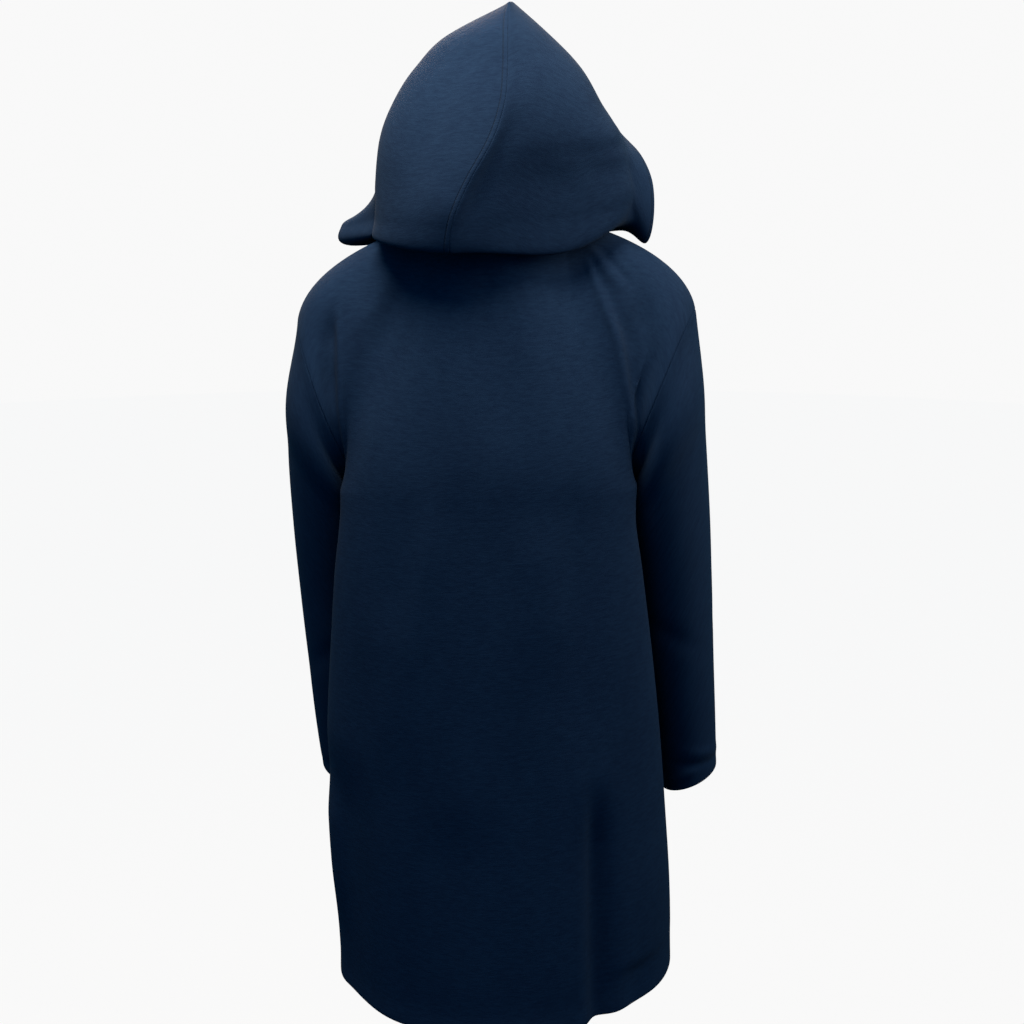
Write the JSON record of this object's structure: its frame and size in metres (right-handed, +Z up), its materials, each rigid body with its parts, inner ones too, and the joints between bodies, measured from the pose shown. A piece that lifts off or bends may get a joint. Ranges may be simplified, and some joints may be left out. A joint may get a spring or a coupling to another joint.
{
  "type": "duffle coat",
  "caption": "Hooded knee-length duffle coat in felted navy wool, hood up and filled out with no wearer, closed in front by cord loops and turned toggles.",
  "frame": {"origin": "middle of the neck opening, where the wearer's neck and shoulders hold the coat up", "axes": "+Z up, the back of the coat towards +Y and its front towards -Y, +X towards the wearer's left"},
  "size_m": [0.5532, 0.3617, 1.2523],
  "materials": {
    "wool": "felted wool with a short nap",
    "cord": "braided cord",
    "wood": "turned and oiled"
  },
  "bodies": {
    "root": {"back": "wool", "front_left": "wool", "front_right": "wool", "sleeve_left": "wool", "sleeve_right": "wool", "hood_left": "wool", "hood_right": "wool", "toggle_1": "wood", "toggle_2": "wood", "toggle_3": "wood", "toggle_4": "wood", "toggle_cord_1": "cord", "toggle_cord_2": "cord", "toggle_cord_3": "cord", "toggle_cord_4": "cord", "loop_1": "cord", "loop_2": "cord", "loop_3": "cord", "loop_4": "cord", "loop_tab_1": "wool", "loop_tab_2": "wool", "loop_tab_3": "wool", "loop_tab_4": "wool", "toggle_tab_1": "wool", "toggle_tab_2": "wool", "toggle_tab_3": "wool", "toggle_tab_4": "wool"}
  },
  "joints": []
}
